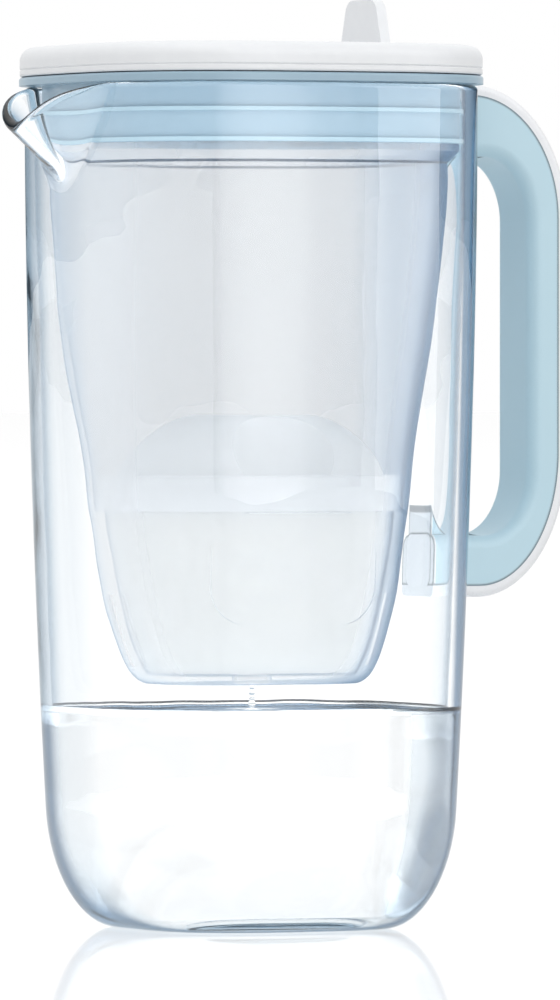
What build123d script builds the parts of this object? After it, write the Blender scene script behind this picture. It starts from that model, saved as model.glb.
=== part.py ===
from build123d import *
import math
import os

# Water filter pitcher with a flip lid, in millimetres. +Z is up and the origin is the centre of
# the flat base. The spout points to -X and the handle to +X. Every plan section is a superellipse.

# Plan sections
PLAN_POWER = 3.0          # exponent of the superellipse: 2 is an ellipse, more is squarer
PLAN_POINTS = 24          # points of the closed curve through each plan section

# Glass jug
RIM_Z = 257.0             # height of the glass rim
RIM_HALF = 63.6           # half width of the glass over the rim
BODY_TAPER = 7.8          # how much narrower, each side, the wall line is at the base
TAPER_POWER = 1.8         # how the taper gathers towards the base
GLASS_WALL = 3.6
BASE_THICK = 7.0
HEEL_WIDE = 18.0          # elliptical rounding at the foot, outside
HEEL_TALL = 36.0
HEEL_STEPS = (0.0, 0.02, 0.06, 0.13, 0.25, 0.42, 0.62, 0.82)   # section heights in the heel
WALL_STEPS = (0.02, 0.08, 0.16, 0.25, 0.35, 0.45, 0.55, 0.65, 0.75, 0.85, 0.93, 1.0)

# Spout
SPOUT_DEEP = 25.4         # from the rim down to where the beak leaves the wall
SPOUT_LEAN = 1.12         # outward run of the beak for each millimetre of height
SPOUT_FLANK_ANGLE = 45.0  # each flank to the pitcher's centre plane, in plan
SPOUT_NOSE = 14.0         # plan radius of the beak's nose, outside
SPOUT_DIP = 11.0          # how far the rim dips at the tip
SPOUT_DIP_HALF = 31.0     # half width of that dip
SPOUT_SHOULDER = 0.5      # the dip starts this far above the rim

# Collar, seals and lid
FIT_GAP = 0.3             # clearance between pieces that lift apart
LIFT_GAP = 1.0            # from the handle to the collar that lifts past it
COLLAR_LAP = 1.6          # how far the collar reaches past the glass
COLLAR_THICK = 2.5
COLLAR_EDGE = 0.8
COLLAR_WALL = 2.0
COLLAR_SKIRT_GAP = 1.3    # from the skirt to the glass
COLLAR_SKIRT_DEEP = 18.0  # skirt below the rim
SEAL_HIGH = 1.2
SEAL_UPPER_DEEP = 8.7     # underside of the upper seal below the rim
SEAL_LOWER_RISE = 0.2     # lower seal above the skirt's foot
LID_INSET = 0.2           # the lid's edge inside the collar's
LID_DECK = 2.1            # thickness of the lid base's deck
LID_HEIGHT = 9.0          # lid base underside to crown
LID_EDGE = 4.2            # rounding of the crown's edge
LID_WALL = 2.2
DECK_EDGE = 0.7
LID_GROOVE = 0.4          # chamfers on both sides of the parting line round the lid
PLUG_DEEP = 2.5           # how far the lid's locating rib reaches into the collar
PLUG_WALL = 1.8

# Flap, its hinge and thumb tab
FLAP_FRONT_X = -28.0
FLAP_REAR_X = 35.4
FLAP_HALF_Y = 28.0
FLAP_CORNER = 12.0
FLAP_THICK = 2.0
FLAP_GAP = 0.5
FLAP_LEDGE = 2.6          # width of the ledge that the flap rests on
BRIDGE_LAP = 2.0          # how far the bridge to the barrel runs into the flap
HINGE_BEHIND = 3.6        # hinge axis behind the flap's plate
HINGE_DEEP = 2.2          # hinge axis below the crown
BARREL_RADIUS = 2.5
PIN_RADIUS = 1.25
PIN_CLEARANCE = 0.08
BARREL_LAP = 1.0          # barrel beyond each side of the tab
TAB_WIDE = 31.0
TAB_TOP_WIDE = 20.0
TAB_THICK = 3.3
TAB_CORNER = 5.0
TAB_RISE = 14.8           # tab top above the crown
TAB_SWING = 9.2           # slot behind the hinge axis that the tab tips into
BOSS_WIDE = 4.6           # length of each hinge boss along the pin
BOSS_WALL = 1.0           # plastic past the end of the pin

# Change indicator in the front of the lid
BUTTON_AHEAD = 18.0       # button's centre ahead of the flap
BUTTON_Y = -6.0
BUTTON_RADIUS = 6.5
BUTTON_GAP = 0.35
BUTTON_PROUD = 0.4
BUTTON_FLANGE = 1.3       # how far the retaining flange reaches past the button
BUTTON_FLANGE_THICK = 0.9
BUTTON_STROKE = 1.0
BUTTON_EDGE = 0.6
BOARD_LONG = 25.0
BOARD_WIDE = 18.0
BOARD_THICK = 1.0
SWITCH_SIDE = 4.0
CELL_AHEAD = 14.5         # cell's centre ahead of the flap
CELL_Y = 19.0
CELL_RADIUS = 8.0
CELL_THICK = 1.6
CELL_COVER_LAP = 1.2      # cover radius beyond the cell
COIN_SLOT_LONG = 9.6
COIN_SLOT_WIDE = 1.6
COIN_SLOT_DEEP = 0.8

# Funnel
FUNNEL_WALL = 1.6
FUNNEL_LIP_HIGH = 6.5     # lip inside the collar's skirt
FUNNEL_LIP_WALL = 1.8
FUNNEL_BRIM = 2.2         # height of the level band under the skirt
FUNNEL_FLARE = 3.6        # height of the flare under that band
FUNNEL_FLOOR = 2.6
BASIN_GAP = 5.0           # from the top of the basin's sides to the glass
POCKET_DEEP = 52.6        # from the cartridge's seat down to the funnel's floor
POCKET_SHAPE = (          # share of that depth, reach past the cartridge's flange along X and Y
    (0.0, -13.7, -8.1),
    (0.045, -10.2, -5.0),
    (0.15, -7.2, -2.6),
    (0.36, -3.6, -0.4),
    (0.65, -0.4, 1.2),
    (1.0, 2.2, 2.8),
)
BASIN_SHAPE = (           # share of the way up from the seat to the flare, and out along X and Y
    (0.108, 0.118, 0.087),
    (0.372, 0.5, 0.417),
    (0.636, 0.816, 0.782),
    (0.825, 0.96, 0.942),
    (1.0, 1.0, 1.0),
)
OUTLET_RADIUS = 6.0
PANEL_HALF_X = 27.4
PANEL_PROUD = 0.7
PANEL_RISE = 18.3         # panel above the funnel's floor
PANEL_CORNER = 12.0
RIB_RISE = 5.3            # ribs above the funnel's floor
RIB_TALL = 22.0
RIB_WIDE = 2.0
RIB_PROUD = 1.0
RIB_SPACING = 10.0

# Filter cartridge
FLANGE_LOW_Z = 127.6
FLANGE_HIGH = 10.7
FLANGE_HALF_X = 45.2
FLANGE_HALF_Y = 31.6
FLANGE_EDGE = 1.0
SEAT_LAP = 1.9            # how far the flange overlaps its seat in the funnel
CUP_GAP = 0.8
CUP_WALL = 1.6
DOME_SHAPE = (            # height above the flange, and inset from it along X and Y
    (0.0, 4.8, 5.6),
    (7.0, 8.6, 7.8),
    (13.0, 15.0, 11.4),
    (16.8, 21.6, 15.6),
    (18.4, 27.2, 19.2),
)
SCOOP_RADIUS = 20.0       # finger scoops, one on each side of the grip web
WEB_HALF_Y = 13.0
SCOOP_RISE = 12.0         # scoop centre above the flange
SLOT_COUNT = 5
SLOT_PITCH = 5.0
SLOT_WIDE = 1.2
SLOT_LONG = 12.0
MESH_THICK = 0.8
CUP_OUTLET_RADIUS = 8.0

# Handle
HANDLE_REACH = 35.4       # from the rim to the parting line between grip and outer shell
HANDLE_DROP = 2.1         # that line's top below the rim
HANDLE_TALL = 150.9       # that line from top to bottom
HANDLE_TOP_CORNER = (30.0, 38.0)
HANDLE_LOW_CORNER = (27.0, 41.0)
SHELL_THICK = 3.4
HANDLE_WIDE = 25.0
GRIP_DEEP = 9.5           # grip between the finger gap and the parting line
ARM_TOP_TALL = 18.9       # upper arm, from the parting line down to the gap
ARM_LOW_TALL = 15.5       # lower arm, from the gap down to the parting line
GAP_CORNER = (15.0, 20.0)
GAP_ROOT = 13.0           # rounding of the gap at the glass
GRIP_ROUND = 4.0
SHELL_ROUND = 2.0
GRIP_SKIN = 4.0
CORE_WIDE = 14.0
PAD_WIDE = 18.0
PAD_TALL = 16.0
PAD_LONG = 8.0            # reach of each pad from the glass
PAD_ROUND = 3.0
PAD_COVER = 1.0           # grip left above and below a pad
SCREW_RADIUS = 2.0
SCREW_HEAD_RADIUS = 3.6
SCREW_HEAD = 2.6
SCREW_LONG = 15.0
SCREW_BITE = 6.5          # thread in the pad
HEAD_GAP = 0.2            # round the screw's head
DRIVER_REACH = 40.0       # free way for the driver behind the head

# Heights and sizes that follow
GLASS_INNER = RIM_HALF - GLASS_WALL
SPOUT_START_Z = RIM_Z - SPOUT_DEEP
COLLAR_HALF = RIM_HALF + COLLAR_LAP
LID_HALF = COLLAR_HALF - LID_INSET
SKIRT_HALF = GLASS_INNER - COLLAR_SKIRT_GAP
SKIRT_INNER = SKIRT_HALF - COLLAR_WALL
COLLAR_LOW_Z = RIM_Z + FIT_GAP
COLLAR_TOP_Z = COLLAR_LOW_Z + COLLAR_THICK
COLLAR_SKIRT_LOW_Z = RIM_Z - COLLAR_SKIRT_DEEP
SEAL_UPPER_Z = RIM_Z - SEAL_UPPER_DEEP
SEAL_LOWER_Z = COLLAR_SKIRT_LOW_Z + SEAL_LOWER_RISE
LID_LOW_Z = COLLAR_TOP_Z + FIT_GAP
DECK_TOP_Z = LID_LOW_Z + LID_DECK
CROWN_Z = LID_LOW_Z + LID_HEIGHT
CROWN_UNDER_Z = CROWN_Z - LID_WALL
PLUG_HALF = SKIRT_INNER - FIT_GAP
HINGE_X = FLAP_REAR_X + HINGE_BEHIND
HINGE_Z = CROWN_Z - HINGE_DEEP
FLAP_LOW_Z = CROWN_Z - FLAP_THICK
LEDGE_Z = FLAP_LOW_Z - FIT_GAP
TAB_Z = CROWN_Z + TAB_RISE
BARREL_HALF = TAB_WIDE / 2 + BARREL_LAP
BOSS_START = BARREL_HALF + FLAP_GAP
PIN_HALF = BOSS_START + BOSS_WIDE
BUTTON_X = FLAP_FRONT_X - BUTTON_AHEAD
CELL_X = FLAP_FRONT_X - CELL_AHEAD
FLANGE_TOP_Z = FLANGE_LOW_Z + FLANGE_HIGH
SEAT_Z = FLANGE_LOW_Z - FIT_GAP
FUNNEL_FLOOR_Z = SEAT_Z - POCKET_DEEP
FUNNEL_TOP_Z = COLLAR_SKIRT_LOW_Z + FUNNEL_LIP_HIGH
FLARE_LOW_Z = COLLAR_SKIRT_LOW_Z - FUNNEL_BRIM - FUNNEL_FLARE
BASIN_HALF = GLASS_INNER - BASIN_GAP
PANEL_LOW_Z = FUNNEL_FLOOR_Z + PANEL_RISE
RIB_LOW_Z = FUNNEL_FLOOR_Z + RIB_RISE
CUP_LOW_Z = FUNNEL_FLOOR_Z + FUNNEL_FLOOR + CUP_GAP
CUP_FLOOR_Z = CUP_LOW_Z + CUP_WALL
HANDLE_LINE_X = RIM_HALF + HANDLE_REACH
HANDLE_LINE_TOP_Z = RIM_Z - HANDLE_DROP
HANDLE_LINE_LOW_Z = HANDLE_LINE_TOP_Z - HANDLE_TALL
GAP_X = HANDLE_LINE_X - GRIP_DEEP
GAP_TOP_Z = HANDLE_LINE_TOP_Z - ARM_TOP_TALL
GAP_LOW_Z = HANDLE_LINE_LOW_Z + ARM_LOW_TALL
REACH = 400.0             # longer than the pitcher, for cutting solids
CUT_OVER = 1.0            # how far a cutter runs past the face that it opens
NEAR = 0.01               # a section this close to the end of a loft is the end itself


# Shared shapes

def outline(half_x, half_y, z, power=PLAN_POWER):
    """Closed curve |x / half_x|^power + |y / half_y|^power = 1 at height z."""
    points = []
    for i in range(PLAN_POINTS):
        angle = 2 * math.pi * i / PLAN_POINTS
        along, across = math.cos(angle), math.sin(angle)
        span = abs(along / half_x) ** power + abs(across / half_y) ** power
        reach = span ** (-1 / power)
        points.append((reach * along, reach * across, z))
    return Wire([Spline(*points, periodic=True)])


def stack(rows):
    """Solid through plan sections given as (height, half length, half width)."""
    return Part() + Solid.make_loft([outline(half_x, half_y, z) for z, half_x, half_y in rows])


def slab(half_x, half_y, low, high):
    """Upright prism over one plan section."""
    face = Face(outline(half_x, half_y, low))
    return Part() + Solid.extrude(face, Vector(0, 0, high - low))


def ring(half_out, half_in, low, high):
    """Upright ring between two square plan sections."""
    face = Face(outline(half_out, half_out, low), [outline(half_in, half_in, low)])
    return Part() + Solid.extrude(face, Vector(0, 0, high - low))


def block(x0, x1, y0, y1, z0, z1):
    """Box between two corners."""
    centre = ((x0 + x1) / 2, (y0 + y1) / 2, (z0 + z1) / 2)
    return Pos(*centre) * Box(x1 - x0, y1 - y0, z1 - z0)


def disc(x, y, radius, low, high):
    """Upright cylinder."""
    return Pos(x, y, (low + high) / 2) * Cylinder(radius, high - low)


def rounded_block(x0, x1, half_y, corner, low, high):
    """Upright prism over a rounded rectangle."""
    plan = RectangleRounded(x1 - x0, 2 * half_y, corner)
    return extrude(Pos((x0 + x1) / 2, 0, low) * plan, high - low)


# Glass jug

def wall_half(z):
    """Half width of the jug's outer wall line at height z, before the heel's rounding."""
    return RIM_HALF - BODY_TAPER * ((RIM_Z - z) / RIM_Z) ** TAPER_POWER


def heel(z, floor, wide, tall):
    """How far the elliptical heel draws in at height z over its floor."""
    drop = max(0.0, floor + tall - z) / tall
    return wide * (1 - math.sqrt(1 - min(1.0, drop) ** 2))


def jug_rows(floor, inset, heel_wide, heel_tall, top):
    """Sections of the jug's outside, or of its inside, from its floor to the given top."""
    rows = []
    above = top - floor - heel_tall
    heights = [floor + heel_tall * step for step in HEEL_STEPS]
    heights += [floor + heel_tall + above * step for step in WALL_STEPS]
    for z in heights:
        half = wall_half(z) - inset - heel(z, floor, heel_wide, heel_tall)
        rows.append((z, half, half))
    return rows


def jug_outside(grow=0.0):
    """The jug's outer body, grown sideways by a clearance."""
    return stack(jug_rows(0.0, -grow, HEEL_WIDE, HEEL_TALL, RIM_Z))


def beak(shift, nose):
    """Leaning V-shaped prism of the spout, shifted inwards along X."""
    start_z = SPOUT_START_Z - SPOUT_NOSE / 2
    rise = RIM_Z - start_z
    slope = math.tan(math.radians(SPOUT_FLANK_ANGLE))
    nose_cut = nose * (1 / math.sin(math.radians(SPOUT_FLANK_ANGLE)) - 1)
    tip_x = -wall_half(SPOUT_START_Z) + SPOUT_LEAN * (SPOUT_START_Z - start_z) + shift
    apex_x = tip_x - nose_cut
    back = RIM_HALF - HEEL_WIDE + GLASS_WALL
    plan = Polygon((apex_x, 0), (apex_x + back, -back * slope), (apex_x + back, back * slope),
                   align=None)
    plan = fillet(plan.vertices().sort_by(Axis.X)[0], radius=nose)
    face = (Pos(0, 0, start_z) * plan).faces()[0]
    return Part() + Solid.extrude(face, Vector(-SPOUT_LEAN * rise, 0, rise))


def rim_dip():
    """Cutter above the spout's rim: a bell of four equal arcs across Y, drawn along X."""
    shoulder = RIM_Z + SPOUT_SHOULDER
    foot = RIM_Z - SPOUT_DIP
    middle = (shoulder + foot) / 2
    roof = RIM_Z + SPOUT_DIP
    edges = [Line((-SPOUT_DIP_HALF, shoulder), (-SPOUT_DIP_HALF, roof)),
             Line((-SPOUT_DIP_HALF, roof), (SPOUT_DIP_HALF, roof)),
             Line((SPOUT_DIP_HALF, roof), (SPOUT_DIP_HALF, shoulder))]
    for side in (-1, 1):
        turn = (side * SPOUT_DIP_HALF / 2, middle)
        edges.append(TangentArc((side * SPOUT_DIP_HALF, shoulder), turn, tangent=(-side, 0)))
        edges.append(TangentArc((0, foot), turn, tangent=(side, 0)))
    back_x = RIM_HALF - 2 * GLASS_WALL
    face = Plane.YZ.offset(-2 * RIM_HALF) * make_face(edges)
    return extrude(face, 2 * RIM_HALF - back_x, dir=(1, 0, 0))


def glass_jug():
    """One blown piece: tapered body, round heel, thick base and an open beak."""
    flank = math.sin(math.radians(SPOUT_FLANK_ANGLE))
    flank_shift = GLASS_WALL * math.sqrt(1 + (SPOUT_LEAN * flank) ** 2) / flank
    nose_shift = GLASS_WALL * math.sqrt(1 + SPOUT_LEAN ** 2)
    inner_nose = SPOUT_NOSE - (flank_shift - nose_shift) / (1 / flank - 1)
    outside = jug_outside() + beak(0.0, SPOUT_NOSE)
    inside_rows = jug_rows(BASE_THICK, GLASS_WALL, HEEL_WIDE, HEEL_TALL, RIM_Z)
    inside = stack(inside_rows) + beak(flank_shift, max(inner_nose, GLASS_WALL))
    return outside - inside - rim_dip()


# Handle

def d_face(x_right, z_low, z_high, low_corner, high_corner):
    """Face in the XZ plane, square on the jug's side and with two elliptical outer corners."""
    low_x, low_z = x_right - low_corner[0], z_low + low_corner[1]
    high_x, high_z = x_right - high_corner[0], z_high - high_corner[1]
    edges = [
        Line((0, z_high), (high_x, z_high)),
        EllipticalCenterArc((high_x, high_z), *high_corner, start_angle=0, arc_size=90),
        Line((x_right, high_z), (x_right, low_z)),
        EllipticalCenterArc((low_x, low_z), *low_corner, start_angle=270, arc_size=90),
        Line((low_x, z_low), (0, z_low)),
        Line((0, z_low), (0, z_high)),
    ]
    return Plane.XZ * make_face(edges)


def handle_outer(grow):
    """Handle outline to the parting line, grown outwards."""
    low = (HANDLE_LOW_CORNER[0] + grow, HANDLE_LOW_CORNER[1] + grow)
    high = (HANDLE_TOP_CORNER[0] + grow, HANDLE_TOP_CORNER[1] + grow)
    return d_face(HANDLE_LINE_X + grow, HANDLE_LINE_LOW_Z - grow, HANDLE_LINE_TOP_Z + grow,
                  low, high)


def handle_gap(grow):
    """Outline of the finger gap, grown into the handle."""
    corner = (GAP_CORNER[0] + grow, GAP_CORNER[1] + grow)
    return d_face(GAP_X + grow, GAP_LOW_Z - grow, GAP_TOP_Z + grow, corner, corner)


def glass_beside(grow):
    """The stretch of the jug that the handle stands against, grown by a clearance."""
    rows = []
    low, high = HANDLE_LINE_LOW_Z - 4 * SHELL_THICK, RIM_Z + 4 * SHELL_THICK
    for share in (0.0, 0.25, 0.5, 0.75, 1.0):
        z = low + share * (high - low)
        half = wall_half(min(z, RIM_Z)) + grow
        rows.append((z, half, half))
    return stack(rows)


def gap_roots():
    """Round webs that close the finger gap towards the glass, above and below."""
    webs = Part()
    wide = HANDLE_WIDE - 2 * GRIP_ROUND
    for end_z, way in ((GAP_TOP_Z, -1), (GAP_LOW_Z, 1)):
        glass_x = wall_half(end_z)
        middle_z = end_z + way * GAP_ROOT / 2
        square = Pos(glass_x + GAP_ROOT / 2, middle_z) * Rectangle(GAP_ROOT, GAP_ROOT)
        hole = Pos(glass_x + GAP_ROOT, end_z + way * GAP_ROOT) * Circle(GAP_ROOT)
        behind = Pos(glass_x - GAP_ROOT / 2, middle_z) * Rectangle(GAP_ROOT, GAP_ROOT)
        webs = webs + extrude(Plane.XZ * (square - hole + behind), wide / 2, both=True)
    return webs


def pad_height(upper):
    """Height of a pad's centre: the middle of its arm."""
    if upper:
        return (HANDLE_LINE_TOP_Z + GAP_TOP_Z) / 2
    return (HANDLE_LINE_LOW_Z + GAP_LOW_Z) / 2


def mount_pad(upper):
    """Pad bonded to the glass that one handle arm is screwed to."""
    z = pad_height(upper)
    glass_x = wall_half(z)
    tall = min(PAD_TALL, HANDLE_LINE_TOP_Z - GAP_TOP_Z - 2 * PAD_COVER)
    pad = block(glass_x - GLASS_WALL, glass_x + PAD_LONG, -PAD_WIDE / 2, PAD_WIDE / 2,
                z - tall / 2, z + tall / 2)
    pad = fillet(pad.edges().filter_by(Axis.X), PAD_ROUND)
    return pad - jug_outside() - handle_screw(upper)


def handle_screw(upper):
    """Pan head screw along X from the handle's core into its pad."""
    z = pad_height(upper)
    tip_x = wall_half(z) + PAD_LONG - SCREW_BITE
    shank = Pos(tip_x + SCREW_LONG / 2, 0, z) * Rot(0, 90, 0) * Cylinder(SCREW_RADIUS, SCREW_LONG)
    head_x = tip_x + SCREW_LONG
    head = Pos(head_x + SCREW_HEAD / 2, 0, z) * Rot(0, 90, 0) * Cylinder(
        SCREW_HEAD_RADIUS, SCREW_HEAD)
    return shank + head


def screw_channel(upper):
    """Space for a screw and for the driver behind its head."""
    z = pad_height(upper)
    head_x = wall_half(z) + PAD_LONG - SCREW_BITE + SCREW_LONG
    bore = Pos(head_x + DRIVER_REACH / 2, 0, z) * Rot(0, 90, 0) * Cylinder(
        SCREW_HEAD_RADIUS + HEAD_GAP, DRIVER_REACH)
    return handle_screw(upper) + bore


def handle_parts():
    """Stiff core, soft grip on the hand side and outer shell, all around the same screws."""
    line = handle_outer(0.0)
    glass = glass_beside(FIT_GAP)
    pads = mount_pad(True) + mount_pad(False)
    core_space = extrude(line - handle_gap(GRIP_SKIN), CORE_WIDE / 2, both=True)
    core = core_space - [glass, pads, screw_channel(True), screw_channel(False)]
    grip = extrude(line - handle_gap(0.0), HANDLE_WIDE / 2, both=True)
    grip = fillet([edge for edge in grip.edges() if on_hand_side(edge)], GRIP_ROUND)
    grip = grip + gap_roots() - [core_space, glass, pads]
    shell = extrude(handle_outer(SHELL_THICK) - line, HANDLE_WIDE / 2, both=True)
    shell = fillet([edge for edge in shell.edges() if on_back(edge)], SHELL_ROUND)
    return core, grip, shell - [glass, pads, jug_lift_clearance()]


def on_side(edge):
    """True for an edge that lies in one of the handle's flat side faces."""
    box = edge.bounding_box()
    return box.size.Y < 0.01 and abs(abs(box.center().Y) - HANDLE_WIDE / 2) < 0.01


def on_hand_side(edge):
    """True for the side edges of the finger gap."""
    box = edge.bounding_box()
    within = box.min.Z > GAP_LOW_Z - 0.1 and box.max.Z < GAP_TOP_Z + 0.1
    return on_side(edge) and within and box.max.X < GAP_X + 0.1 and box.max.X > 0.1


def on_back(edge):
    """True for the outer side edges of the shell."""
    box = edge.bounding_box()
    outside = (box.max.X > HANDLE_LINE_X + 0.1 or box.max.Z > HANDLE_LINE_TOP_Z + 0.1
               or box.min.Z < HANDLE_LINE_LOW_Z - 0.1)
    return on_side(edge) and outside and box.max.X > 0.1


def jug_lift_clearance():
    """Space above the rim that the collar and the lid pass through."""
    return block(0, COLLAR_HALF + LIFT_GAP, -HANDLE_WIDE, HANDLE_WIDE, RIM_Z - LIFT_GAP, CROWN_Z)


# Funnel and collar

def funnel_sections():
    """Outside of the funnel, from its floor to the flare: height, half length and half width."""
    rows = []
    for share, past_x, past_y in POCKET_SHAPE:
        rows.append((FUNNEL_FLOOR_Z + share * POCKET_DEEP,
                     FLANGE_HALF_X + past_x, FLANGE_HALF_Y + past_y))
    seat_z, seat_x, seat_y = rows[-1]
    for up, out_x, out_y in BASIN_SHAPE:
        rows.append((seat_z + up * (FLARE_LOW_Z - seat_z), seat_x + out_x * (BASIN_HALF - seat_x),
                     seat_y + out_y * (BASIN_HALF - seat_y)))
    return rows


def funnel_rows(inset, low, high):
    """Funnel sections between two heights, drawn in by an inset."""
    rows = [(low, *funnel_half(low))]
    rows += [row for row in funnel_sections() if low + NEAR < row[0] < high - NEAR]
    rows.append((high, *funnel_half(high)))
    return [(z, half_x - inset, half_y - inset) for z, half_x, half_y in rows]


def funnel_half(z):
    """Half length and half width of the funnel's outside at a height."""
    rows = funnel_sections()
    for low, high in zip(rows, rows[1:]):
        if z <= high[0]:
            share = max(0.0, z - low[0]) / (high[0] - low[0])
            return low[1] + share * (high[1] - low[1]), low[2] + share * (high[2] - low[2])
    return rows[-1][1:]


def pocket_inset():
    """How far the pocket's inside lies within the funnel's outside, so that it seats the flange."""
    return funnel_half(SEAT_Z)[0] - (FLANGE_HALF_X - SEAT_LAP)


def pocket_skin(proud):
    """The outside of the pocket, grown by how proud its panel or its ribs stand."""
    return stack(funnel_rows(-proud, FUNNEL_FLOOR_Z, SEAT_Z))


def pocket_panel():
    """Raised panel on the pocket's front."""
    plan = RectangleRounded(2 * PANEL_HALF_X, SEAT_Z - PANEL_LOW_Z, PANEL_CORNER)
    window = Pos(0, 0, (PANEL_LOW_Z + SEAT_Z) / 2) * Rot(90, 0, 0) * extrude(plan, REACH)
    return pocket_skin(PANEL_PROUD) & window


def pocket_ribs():
    """Pair of upright ribs on each end of the pocket."""
    bars = Part()
    for y in (-RIB_SPACING / 2, RIB_SPACING / 2):
        bars = bars + block(-REACH, REACH, y - RIB_WIDE / 2, y + RIB_WIDE / 2,
                            RIB_LOW_Z, RIB_LOW_Z + RIB_TALL)
    return pocket_skin(RIB_PROUD) & bars


def funnel():
    """Open tub with a deep pocket for the cartridge and a flared top under the collar."""
    flare_z = FLARE_LOW_Z + FUNNEL_FLARE
    flare_half = SKIRT_HALF - FIT_GAP
    lip_half = SKIRT_INNER
    lip_inner = lip_half - FUNNEL_LIP_WALL
    basin_inner = BASIN_HALF - FUNNEL_WALL
    outside = stack(funnel_rows(0.0, FUNNEL_FLOOR_Z, FLARE_LOW_Z)) + [pocket_panel(), pocket_ribs()]
    flare = stack([(FLARE_LOW_Z, BASIN_HALF, BASIN_HALF), (flare_z, flare_half, flare_half)])
    rim = slab(flare_half, flare_half, flare_z, COLLAR_SKIRT_LOW_Z)
    lip = slab(lip_half, lip_half, COLLAR_SKIRT_LOW_Z, FUNNEL_TOP_Z)
    basin = stack(funnel_rows(FUNNEL_WALL, SEAT_Z, FLARE_LOW_Z))
    throat = stack([(FLARE_LOW_Z, basin_inner, basin_inner), (flare_z, lip_inner, lip_inner)])
    mouth = slab(lip_inner, lip_inner, flare_z, FUNNEL_TOP_Z)
    pocket = stack(funnel_rows(pocket_inset(), FUNNEL_FLOOR_Z + FUNNEL_FLOOR, SEAT_Z))
    outlet = disc(0, 0, OUTLET_RADIUS, FUNNEL_FLOOR_Z, FUNNEL_FLOOR_Z + 2 * FUNNEL_FLOOR)
    return outside + [flare, rim, lip] - [basin, throat, mouth, pocket, outlet]


def seal_ring(low):
    """Soft lip moulded round the collar's skirt, close to the glass."""
    return ring(GLASS_INNER - FIT_GAP, SKIRT_HALF, low, low + SEAL_HIGH)


def collar_ring():
    """Ring that rests on the glass rim and carries the funnel by its skirt."""
    flange = ring(COLLAR_HALF, SKIRT_INNER, COLLAR_LOW_Z, COLLAR_TOP_Z)
    outer_edge = flange.edges().group_by(Axis.Z)[-1].sort_by(SortBy.LENGTH)[-1]
    collar = fillet(outer_edge, COLLAR_EDGE)
    return collar + ring(SKIRT_HALF, SKIRT_INNER, COLLAR_SKIRT_LOW_Z, COLLAR_LOW_Z)


# Filter cartridge

def cup_rows(inset):
    """Cup sections: the funnel's pocket, less a clearance and an inset."""
    return funnel_rows(pocket_inset() + CUP_GAP + inset, CUP_LOW_Z, SEAT_Z)


def cup_half():
    """Half length and half width of the cup where the flange starts."""
    top = cup_rows(0.0)[-1]
    return top[1], top[2]


def cartridge_cup():
    """Thin cup for the media, with an outlet in its floor."""
    half_x, half_y = cup_half()
    neck_top = FLANGE_LOW_Z + FLANGE_HIGH / 2
    outside = stack(cup_rows(0.0)) + slab(half_x, half_y, SEAT_Z, neck_top)
    hollow = media_space() & media_layer(CUP_FLOOR_Z, SEAT_Z + CUT_OVER - CUP_FLOOR_Z)
    neck = slab(half_x - CUP_WALL, half_y - CUP_WALL, SEAT_Z, neck_top)
    outlet = disc(0, 0, CUP_OUTLET_RADIUS, CUP_LOW_Z - CUT_OVER, CUP_FLOOR_Z + CUT_OVER)
    return outside - [hollow, neck, outlet]


def lower_mesh():
    """Fine screen on the cup's floor, under the media."""
    return media_space() & media_layer(CUP_FLOOR_Z, MESH_THICK)


def upper_mesh():
    """Fine screen on top of the media."""
    return media_space() & media_layer(SEAT_Z - MESH_THICK, MESH_THICK)


def media_space():
    """Inside of the cup."""
    return stack(cup_rows(CUP_WALL))


def media_layer(low, thick):
    """Level slice through the cup."""
    return block(-REACH, REACH, -REACH, REACH, low, low + thick)


def filter_media():
    """Bed of granules between the two screens."""
    low = CUP_FLOOR_Z + MESH_THICK
    return media_space() & media_layer(low, SEAT_Z - MESH_THICK - low)


def dome(inset):
    """Cap above the flange, with a finger scoop on each side of its grip web."""
    rows = []
    for height, inset_x, inset_y in DOME_SHAPE:
        z = FLANGE_TOP_Z + height - (inset if height == DOME_SHAPE[-1][0] else 0.0)
        rows.append((z, FLANGE_HALF_X - inset_x - inset, FLANGE_HALF_Y - inset_y - inset))
    centre_z = FLANGE_TOP_Z + SCOOP_RISE
    balls = [Pos(0, side * (WEB_HALF_Y + SCOOP_RADIUS), centre_z) * Sphere(SCOOP_RADIUS + inset)
             for side in (-1, 1)]
    return stack(rows) - balls


def cartridge_cap():
    """Flange band and inlet dome over the cup."""
    half_x, half_y = cup_half()
    neck_top = FLANGE_LOW_Z + FLANGE_HIGH / 2
    band = slab(FLANGE_HALF_X, FLANGE_HALF_Y, FLANGE_LOW_Z, FLANGE_TOP_Z)
    band = fillet(band.edges().group_by(Axis.Z)[-1], FLANGE_EDGE)
    inner_x = FLANGE_HALF_X - DOME_SHAPE[0][1] - CUP_WALL
    inner_y = FLANGE_HALF_Y - DOME_SHAPE[0][2] - CUP_WALL
    cuts = [slab(half_x, half_y, FLANGE_LOW_Z, neck_top),
            slab(inner_x, inner_y, neck_top, FLANGE_TOP_Z), dome(CUP_WALL)]
    top_z = FLANGE_TOP_Z + DOME_SHAPE[-1][0]
    for i in range(SLOT_COUNT):
        x = (i - (SLOT_COUNT - 1) / 2) * SLOT_PITCH
        cuts.append(block(x - SLOT_WIDE / 2, x + SLOT_WIDE / 2, -SLOT_LONG / 2, SLOT_LONG / 2,
                          top_z - 2 * CUP_WALL, top_z + CUT_OVER))
    return band + dome(0.0) - cuts


# Lid

def flap_plan(grow, low, high):
    """Prism over the flap's rounded outline, grown by a gap."""
    return rounded_block(FLAP_FRONT_X - grow, FLAP_REAR_X + grow, FLAP_HALF_Y + grow,
                         FLAP_CORNER + grow, low, high)


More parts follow.
